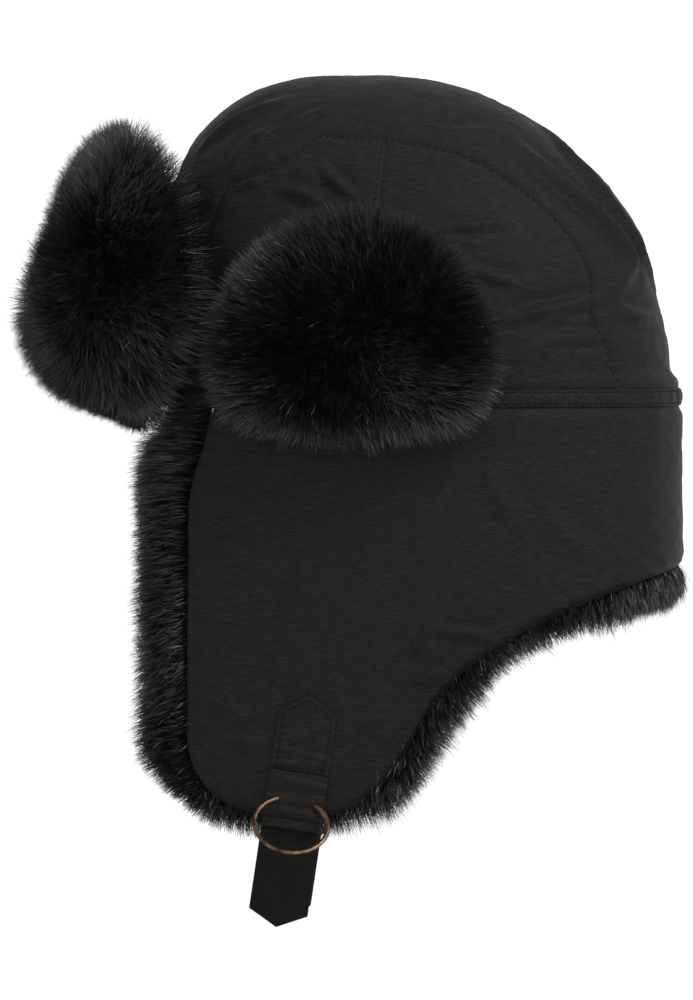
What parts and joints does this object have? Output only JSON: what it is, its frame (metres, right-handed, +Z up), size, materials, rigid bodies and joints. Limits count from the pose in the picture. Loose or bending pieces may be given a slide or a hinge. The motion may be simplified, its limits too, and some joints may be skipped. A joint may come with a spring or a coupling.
{
  "type": "trapper hat",
  "caption": "Trapper hat with a panelled cloth crown, turned-up fur visor and side lobes, and long fur-lined ear flaps with ring and strap.",
  "frame": {"origin": "centre of the head opening, level with the band seam under the crown", "axes": "+Z up through the crown, -Y towards the face, +X towards the wearer's left"},
  "size_m": [0.2458, 0.2903, 0.368],
  "materials": {
    "shell": "black crinkled polyamide taslan with a soft sheen",
    "fur": "black faux fur, glossy on the guard hairs",
    "lining": "black satin lining",
    "wadding": "white polyester wadding",
    "elastic": "black woven elastic",
    "metal": "antique copper plate"
  },
  "bodies": {
    "crown": {"crown_center_panel": "shell", "crown_side_front_left": "shell", "crown_side_back_left": "shell", "crown_side_front_right": "shell", "crown_side_back_right": "shell", "crown_wadding": "wadding", "crown_lining": "lining", "sweatband": "lining", "crown_band": "shell", "band_elastic": "elastic", "neck_shell": "shell", "neck_wadding": "wadding", "neck_fur": "fur"},
    "visor": {"visor_backing": "shell", "visor_wadding": "wadding", "visor_fur": "fur"},
    "side_lobe_left": {"side_lobe_backing_left": "shell", "side_lobe_fur_left": "fur"},
    "side_lobe_right": {"side_lobe_backing_right": "shell", "side_lobe_fur_right": "fur"},
    "ear_flap_left": {"ear_flap_shell_left": "shell", "ear_flap_wadding_left": "wadding", "ear_flap_fur_left": "fur", "strap_tab_left": "shell"},
    "ear_flap_right": {"ear_flap_shell_right": "shell", "ear_flap_wadding_right": "wadding", "ear_flap_fur_right": "fur", "strap_tab_right": "shell"},
    "ring_left": {"ring_left": "metal", "ring_loop_left": "shell"},
    "ring_right": {"ring_right": "metal", "ring_loop_right": "shell"},
    "strap_left": {"chin_strap_left": "shell"},
    "strap_right": {"chin_strap_right": "shell"}
  },
  "joints": [
    {"name": "visor_fold", "type": "hinge", "parent": "crown", "child": "visor", "pos_m": [0, -0.1255, -0.008], "axis": [1, 0, 0], "range_deg": [0, 95]},
    {"name": "side_lobe_fold_left", "type": "hinge", "parent": "crown", "child": "side_lobe_left", "pos_m": [0.0985, -0.027, -0.0085], "axis": [0, 1, 0], "range_deg": [0, 95]},
    {"name": "side_lobe_fold_right", "type": "hinge", "parent": "crown", "child": "side_lobe_right", "pos_m": [-0.0985, -0.027, -0.0085], "axis": [0, -1, 0], "range_deg": [0, 95]},
    {"name": "ear_flap_fold_left", "type": "hinge", "parent": "crown", "child": "ear_flap_left", "pos_m": [0.0922, -0.027, -0.096], "axis": [0, 1, 0], "range_deg": [-130, 6], "stiffness_Nm_per_rad": 0.08},
    {"name": "ear_flap_fold_right", "type": "hinge", "parent": "crown", "child": "ear_flap_right", "pos_m": [-0.0922, -0.027, -0.096], "axis": [0, -1, 0], "range_deg": [-130, 6], "stiffness_Nm_per_rad": 0.08},
    {"name": "ring_swing_left", "type": "hinge", "parent": "ear_flap_left", "child": "ring_left", "pos_m": [0.09008, -0.05116, -0.16252], "axis": [-0.0694, -0.9866, 0.1475], "range_deg": [0, 88]},
    {"name": "ring_swing_right", "type": "hinge", "parent": "ear_flap_right", "child": "ring_right", "pos_m": [-0.09008, -0.05116, -0.16252], "axis": [-0.0694, 0.9866, -0.1475], "range_deg": [0, 88]},
    {"name": "strap_swing_left", "type": "hinge", "parent": "ring_left", "child": "strap_left", "pos_m": [0.08493, -0.05413, -0.1824], "axis": [0.0802, 0.9858, -0.1473], "range_deg": [-2, 18]},
    {"name": "strap_swing_right", "type": "hinge", "parent": "ring_right", "child": "strap_right", "pos_m": [-0.08493, -0.05413, -0.1824], "axis": [0.0802, -0.9858, 0.1473], "range_deg": [-2, 18]}
  ]
}
